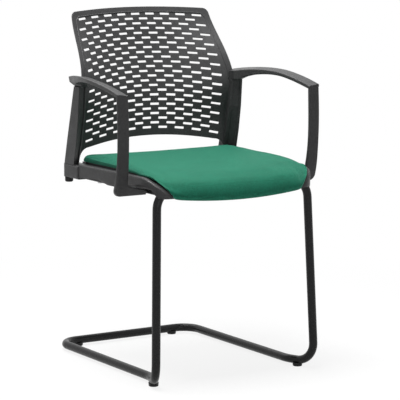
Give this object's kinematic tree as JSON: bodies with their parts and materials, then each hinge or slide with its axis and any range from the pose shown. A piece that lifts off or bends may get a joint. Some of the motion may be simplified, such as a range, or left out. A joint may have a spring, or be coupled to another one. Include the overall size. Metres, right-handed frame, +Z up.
{
  "type": "cantilever chair",
  "caption": "Cantilever armchair with a bent tube sled base, upholstered seat on a plastic pan, slotted curved back and loop arms.",
  "frame": {"origin": "centre of the overall box on the floor plane", "axes": "+Z up; -Y is the front, the way a sitter faces; +X is the sitter's left"},
  "size_m": [0.552, 0.5535, 0.846],
  "materials": {
    "frame_paint": "black powder coat, fine satin texture",
    "steel": "zinc plated",
    "glide_plastic": "black moulded plastic",
    "pan_plastic": "dark grey moulded plastic, fine grain",
    "back_plastic": "dark grey moulded plastic, fine grain",
    "arm_plastic": "dark grey moulded plastic, fine grain",
    "board_wood": "raw plywood",
    "seat_fabric": "green woven upholstery"
  },
  "bodies": {
    "root": {"tube_frame": "frame_paint", "tube_joint_sleeve": "steel", "glide_front_right": "glide_plastic", "glide_front_left": "glide_plastic", "glide_rear_right": "glide_plastic", "glide_rear_left": "glide_plastic", "seat_bearer_right": "frame_paint", "seat_bearer_left": "frame_paint", "bearer_plug_right": "glide_plastic", "bearer_plug_left": "glide_plastic", "rear_cross_member": "frame_paint", "seat_pan": "pan_plastic", "seat_board": "board_wood", "seat_cushion": "seat_fabric", "seat_screws": "steel", "tee_nuts": "steel", "back_shell": "back_plastic", "post_core_right": "steel", "post_core_left": "steel", "corner_socket_right": "pan_plastic", "corner_socket_left": "pan_plastic", "rounded_stop_right": "glide_plastic", "rounded_stop_left": "glide_plastic", "socket_screws": "steel", "arm_right": "arm_plastic", "arm_left": "arm_plastic", "arm_front_screws": "steel", "arm_rear_screws": "steel"}
  },
  "joints": []
}
